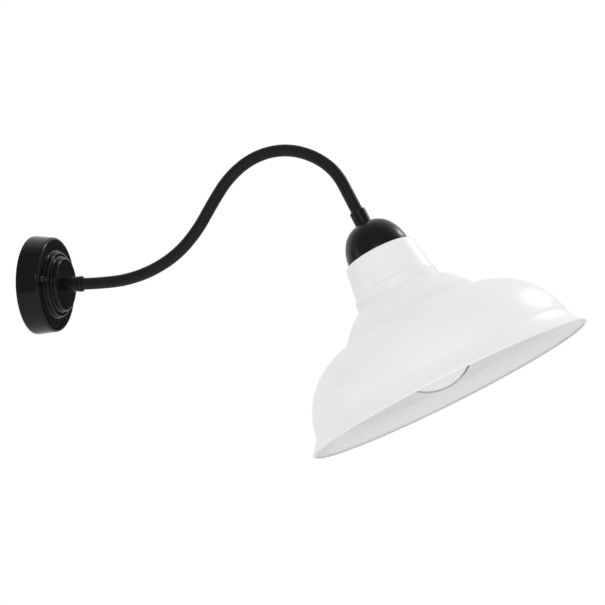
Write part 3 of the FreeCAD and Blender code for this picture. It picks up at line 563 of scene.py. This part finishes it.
RING_TOP = SHADE_TOP + 1.0
loop = outline([
    (19.6, RING_TOP), (28.0, RING_TOP), (28.0, RING_TOP + 1.2),
    (26.6, RING_TOP + 2.6, 1.4, "left"), (22.2, RING_TOP + 2.6), (22.2, RING_TOP + 6.0),
    (19.6, RING_TOP + 6.0)])
FLANGE_FROM = 24
RIBS = 48
RIB_DEPTH = 0.35


def ribbed(radius, station, angle):
    """Grip ribs round the ring's flange."""
    if radius > FLANGE_FROM:
        radius -= RIB_DEPTH * (0.5 - 0.5 * math.cos(angle * RIBS))
    return radius, station


turned("shade_ring_moulded", supported(softened(loop, TURNED_EDGE)), HEAD, PHENOLIC,
       "lamp_head", slices=384, shape=ribbed, stands_for=["shade_ring"], slot="black_phenolic")

# Globe bulb: the throat flares into the globe along an arc that meets both smoothly
TIP = 64.1
CAP_END = TIP + 25.0
GLOBE = 47.5
GLASS_WALL = 1.0
THROAT = 12.4
GLOBE_CENTRE = TIP + 138.0 - GLOBE
rise = GLOBE_CENTRE - CAP_END
flare = (THROAT ** 2 + rise ** 2 - GLOBE ** 2) / ((GLOBE - THROAT) * 2)
share = GLOBE / (flare + GLOBE)
glass = [
    (THROAT, CAP_END - 5.0), (THROAT, CAP_END),
    ((THROAT + flare) * share, GLOBE_CENTRE - rise * share, flare, "right"),
    (GLOBE, GLOBE_CENTRE, GLOBE, "left"),
    (0.0, GLOBE_CENTRE + GLOBE, GLOBE, "left"),
]
outer = outline(glass)
inner = offset(outer[:-1], GLASS_WALL) + [Vector((0, GLOBE_CENTRE + GLOBE - GLASS_WALL))]
outer[-1].x = 0.0
turned("bulb_globe_blown", supported(outer + inner[::-1]), HEAD, OPAL, "bulb", slices=192,
       stands_for=["bulb_globe"], slot="opal_globe")

THREAD_PITCH = 3.629
THREAD_DEPTH = 0.95
THREAD_FADE = 1.5
CAP_RADIUS = 13.1
CAP_INSIDE = 10.0
SAME_POINT = 0.05


def threaded(radius, station, angle):
    """The rolled round thread of the screw cap, dying out towards both ends."""
    low, high = TIP + 5.2, CAP_END - 2.2
    if radius > CAP_INSIDE and low < station < high:
        fade = min(1.0, (station - low) / THREAD_FADE, (high - station) / THREAD_FADE)
        wave = 0.5 - 0.5 * math.cos(math.tau * (station / THREAD_PITCH + angle / math.tau))
        radius -= THREAD_DEPTH * wave * fade
    return radius, station


cap_top = TIP + 2.8
side = [Vector((CAP_RADIUS, cap_top + 4 + 0.3 * number)) for number in range(61)]
cap = [Vector(p) for p in [(4.6, cap_top), (9.6, cap_top), (12.7, cap_top + 2)]] + side
cap += [Vector((CAP_RADIUS, CAP_END)), Vector((12.5, CAP_END)), Vector((12.5, cap_top + 3.4)),
        Vector((9.5, cap_top + 0.5)), Vector((4.6, cap_top + 0.5))]
cap = cap[:1] + [point for before, point in zip(cap, cap[1:])
                 if (point - before).length > SAME_POINT]
made, faces = lathe_mesh([(p.x, p.y) for p in cap], HEAD, 128, shape=threaded)
new_piece("bulb_cap_rolled", made, faces, NICKEL, "bulb", stands_for=["bulb_cap"],
          slot="nickel_cap")

# --------------------------------------------------------------------------
# Camera, floor and light
# --------------------------------------------------------------------------

CAMERA_PLACE = (0.55526, -1.22135, -0.18579)
CAMERA_AXES = ((0.9775, 0.2112, 0.0), (0.0266, -0.1230, 0.9921), (0.2095, -0.9697, -0.1258))

camera_data = bpy.data.cameras.new("camera")
camera_data.sensor_width = 36.0
camera_data.lens = 73.7
camera_data.shift_x, camera_data.shift_y = -0.0015, 0.0015
camera_data.clip_start, camera_data.clip_end = 0.05, 50.0
camera = bpy.data.objects.new("camera", camera_data)
bpy.context.scene.collection.objects.link(camera)
turn = Matrix([Vector(axis).normalized() for axis in CAMERA_AXES]).transposed().to_4x4()
camera.matrix_world = Matrix.Translation(CAMERA_PLACE) @ turn
bpy.context.scene.camera = camera


def given(tree, socket, value):
    """Sets an input to a number, or links it to the output of another node."""
    if isinstance(value, float):
        socket.default_value = value
    else:
        tree.links.new(value, socket)


def calculated(tree, operation, first, second):
    """The output of a math node."""
    node = tree.nodes.new("ShaderNodeMath")
    node.operation = operation
    given(tree, node.inputs[0], first)
    given(tree, node.inputs[1], second)
    return node.outputs["Value"]


def mixed(tree, share, first, second):
    """The output of a mix that goes from the first shader to the second with the share."""
    node = tree.nodes.new("ShaderNodeMixShader")
    tree.links.new(share, node.inputs["Fac"])
    tree.links.new(first, node.inputs[1])
    tree.links.new(second, node.inputs[2])
    return node.outputs["Shader"]


def seen_directly(tree, path):
    """1 for a ray from the camera or through glass, 0 for any other."""
    return calculated(tree, "MAXIMUM", path.outputs["Is Camera Ray"],
                      path.outputs["Is Transmission Ray"])


FLOOR_LEVEL = -0.9
FLOOR_REACH = 2.0
FLOOR_WHITE = 0.92
floor_mesh = bpy.data.meshes.new("floor")
floor_mesh.from_pydata([(x * FLOOR_REACH, y * FLOOR_REACH, FLOOR_LEVEL)
                        for x, y in ((-1, -1), (1, -1), (1, 1), (-1, 1))], [], [(0, 1, 2, 3)])
floor = bpy.data.objects.new("floor", floor_mesh)
bpy.context.scene.collection.objects.link(floor)
FLOOR = finish("pale_floor", (0.90, 0.90, 0.90), 0.7, vary=0.01, rough_vary=0.02, vary_size=400,
               specular=0.2)
floor.data.materials.append(FLOOR)

# The camera sees the floor as nearly the white of the background
tree = FLOOR.node_tree
path = tree.nodes.new("ShaderNodeLightPath")
white = tree.nodes.new("ShaderNodeEmission")
white.inputs["Color"].default_value = (1, 1, 1, 1)
white.inputs["Strength"].default_value = 1.0
whiteness = calculated(tree, "MULTIPLY", seen_directly(tree, path), FLOOR_WHITE)
pale = mixed(tree, whiteness, tree.nodes["Principled BSDF"].outputs["BSDF"],
             white.outputs["Emission"])
tree.links.new(pale, tree.nodes["Material Output"].inputs["Surface"])
floor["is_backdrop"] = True

world = bpy.data.worlds.new("studio")
bpy.context.scene.world = world
world.use_nodes = True
studio = world.node_tree
studio.nodes.clear()


def sky(strength):
    """A white background of a strength, a number or the output of another node."""
    shade = studio.nodes.new("ShaderNodeBackground")
    shade.inputs["Color"].default_value = (1, 1, 1, 1)
    given(studio, shade.inputs["Strength"], strength)
    return shade.outputs["Background"]


def toward(direction, start, end, low, high):
    """A strength that runs from low to high as a ray turns towards a direction."""
    turned_to = studio.nodes.new("ShaderNodeVectorMath")
    turned_to.operation = "DOT_PRODUCT"
    turned_to.inputs[1].default_value = direction
    studio.links.new(where, turned_to.inputs[0])
    run = studio.nodes.new("ShaderNodeMapRange")
    run.interpolation_type = "SMOOTHSTEP"
    run.inputs["From Min"].default_value = start
    run.inputs["From Max"].default_value = end
    run.inputs["To Min"].default_value = low
    run.inputs["To Max"].default_value = high
    studio.links.new(turned_to.outputs["Value"], run.inputs["Value"])
    return run.outputs["Result"]


# What the gloss mirrors: white behind the wall light, dimmer in front of it, and a
# dark flag at the right that keeps the plate's flat faces black
where = studio.nodes.new("ShaderNodeTexCoord").outputs["Generated"]
mirrored = calculated(studio, "MULTIPLY", toward((-0.21, 0.97, 0.13), -0.2, 0.7, 0.3, 1.0),
                      toward((0.43, 0.90, 0.02), 0.93, 0.985, 1.0, 0.05))
path = studio.nodes.new("ShaderNodeLightPath")
around = mixed(studio, path.outputs["Is Glossy Ray"], sky(0.835), sky(mirrored))
backdrop = mixed(studio, seen_directly(studio, path), around, sky(1.0))
out = studio.nodes.new("ShaderNodeOutputWorld")
studio.links.new(backdrop, out.inputs["Surface"])


def softbox(name, place, target, width, height, power):
    """A soft oval lamp that looks at a point."""
    data = bpy.data.lights.new(name, "AREA")
    data.shape = "ELLIPSE"
    data.size, data.size_y = width, height
    data.energy = power
    lamp = bpy.data.objects.new(name, data)
    bpy.context.scene.collection.objects.link(lamp)
    place, target = Vector(place), Vector(target)
    lamp.rotation_mode = "QUATERNION"
    lamp.rotation_quaternion = (place - target).to_track_quat("Z", "Y")
    lamp.location = place


softbox("back_right", (1.28, 1.03, 1.17), (0.45, -0.05, -0.05), 0.24, 0.32, 5.0)
softbox("side_left", (-1.37, -0.56, -0.07), (0.36, -0.04, -0.02), 0.34, 0.34, 1.3)
softbox("front", (0.5, -1.85, 0.33), (0.02, 0, 0), 0.28, 0.38, 4.0)
softbox("low", (1.25, -0.95, -0.45), (0.4, 0, -0.1), 0.8, 0.8, 1.4)
bpy.context.scene.view_settings.view_transform = "Standard"

low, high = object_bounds()
